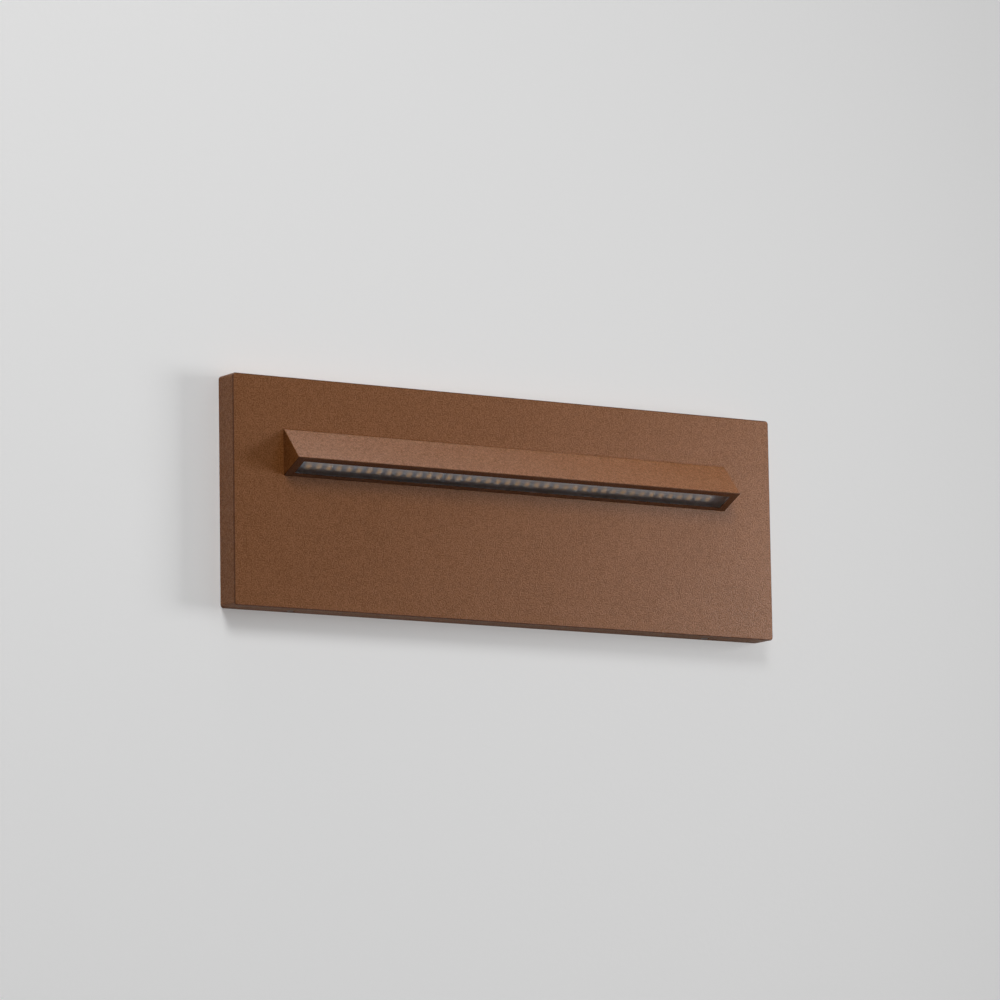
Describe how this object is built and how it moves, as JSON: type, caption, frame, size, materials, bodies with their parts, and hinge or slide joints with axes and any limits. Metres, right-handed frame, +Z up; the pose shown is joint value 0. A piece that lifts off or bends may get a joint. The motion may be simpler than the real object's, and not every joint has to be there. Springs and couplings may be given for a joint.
{
  "type": "recessed wall light",
  "caption": "Rectangular recessed wall light with a triangular hood that throws light down from a frosted slot, its plate held from below, and its works in a box sunk in the wall.",
  "frame": {"origin": "middle of the plate, on the plane of the finished wall", "axes": "+X to the right as seen from the room, +Y into the wall, +Z up"},
  "size_m": [0.28, 0.0889, 0.1],
  "materials": {
    "powder_coat": "rust-brown fine-texture powder coat, matt",
    "frosted_glass": "satin-etched tempered glass",
    "silicone": "grey moulded silicone",
    "foam": "black closed-cell foam",
    "board_white": "white solder mask on aluminium",
    "led_body": "white moulded package",
    "phosphor": "yellow phosphor in clear gel",
    "heat_pad": "soft grey-blue heat pad",
    "bent_aluminium": "mill finish",
    "die_cast": "as cast, shot blasted",
    "stainless": "stainless, turned",
    "driver_white": "white flame-retardant plastic, fine texture",
    "circuit_green": "green solder mask",
    "ferrite": "dark sintered ferrite with yellow tape",
    "copper_winding": "enamelled copper winding",
    "capacitor_sleeve": "dark shrink sleeve on aluminium can",
    "terminal_green": "green terminal housing",
    "insulation_red": "red silicone insulation",
    "insulation_black": "black silicone insulation",
    "gland_polymer": "black glass-filled polyamide",
    "brass": "turned brass",
    "box_polymer": "dark grey moulded polypropylene",
    "membrane_rubber": "black rubber",
    "conduit_grey": "light grey moulded polymer",
    "terminal_grey": "light grey polyamide",
    "lever_brown": "brown polyamide",
    "lever_blue": "blue polyamide",
    "lever_green": "green-yellow polyamide"
  },
  "bodies": {
    "wall_box": {"recess_box": "box_polymer", "threaded_inserts": "brass", "conduit_adaptors": "conduit_grey", "entry_membranes": "membrane_rubber", "terminal_block": "terminal_grey", "terminal_contacts": "brass", "terminal_screws": "stainless"},
    "light_unit": {"light_hood": "powder_coat", "hood_gasket": "silicone", "hood_screws": "stainless", "diffuser": "frosted_glass", "diffuser_seal": "silicone", "led_board": "board_white", "led_packages": "led_body", "led_phosphors": "phosphor", "thermal_tape": "heat_pad", "board_carrier": "bent_aluminium", "carrier_screws": "stainless", "housing": "die_cast", "wall_gasket": "foam", "rear_cover": "die_cast", "cover_gasket": "silicone", "cover_screws": "stainless", "fixing_screw_left": "stainless", "fixing_screw_right": "stainless", "wire_grommet": "membrane_rubber", "lead_positive": "insulation_red", "lead_negative": "insulation_black", "driver_case": "driver_white", "driver_lid": "driver_white", "driver_board": "circuit_green", "driver_transformer": "ferrite", "driver_choke": "copper_winding", "driver_capacitors": "capacitor_sleeve", "driver_terminals": "terminal_green", "driver_pad": "heat_pad", "driver_screws": "stainless", "earth_washer": "brass", "earth_screw": "stainless", "gland_body": "gland_polymer", "gland_seal": "silicone", "gland_washer": "membrane_rubber", "gland_locknut": "gland_polymer", "vent_body": "gland_polymer", "vent_clip": "stainless", "vent_seal": "membrane_rubber"},
    "plate": {"front_plate": "powder_coat"},
    "left_grub": {"grub_screw_left": "stainless"},
    "right_grub": {"grub_screw_right": "stainless"},
    "live_clamp": {"lever_live": "lever_brown"},
    "neutral_clamp": {"lever_neutral": "lever_blue"},
    "earth_clamp": {"lever_earth": "lever_green"},
    "gland_cap": {"gland_nut": "gland_polymer"}
  },
  "joints": [
    {"name": "light_unit_slide", "type": "slide", "parent": "wall_box", "child": "light_unit", "axis": [0, -1, 0], "range_m": [0, 0.1]},
    {"name": "plate_slide", "type": "slide", "parent": "light_unit", "child": "plate", "axis": [0, -1, 0], "range_m": [0, 0.03]},
    {"name": "grub_screw_left_travel", "type": "slide", "parent": "plate", "child": "left_grub", "axis": [0, 0, -1], "range_m": [0, 0.004]},
    {"name": "grub_screw_right_travel", "type": "slide", "parent": "plate", "child": "right_grub", "axis": [0, 0, -1], "range_m": [0, 0.004]},
    {"name": "live_lever_swing", "type": "hinge", "parent": "wall_box", "child": "live_clamp", "pos_m": [-0.1076, 0.0502, 0.008], "axis": [0, 0, -1], "range_deg": [0, 85]},
    {"name": "neutral_lever_swing", "type": "hinge", "parent": "wall_box", "child": "neutral_clamp", "pos_m": [-0.1076, 0.0502, 0], "axis": [0, 0, -1], "range_deg": [0, 85]},
    {"name": "earth_lever_swing", "type": "hinge", "parent": "wall_box", "child": "earth_clamp", "pos_m": [-0.1076, 0.0502, -0.008], "axis": [0, 0, -1], "range_deg": [0, 85]},
    {"name": "gland_nut_turn", "type": "hinge", "parent": "light_unit", "child": "gland_cap", "pos_m": [-0.095, 0.02, 0], "axis": [1, 0, 0], "continuous": true}
  ]
}
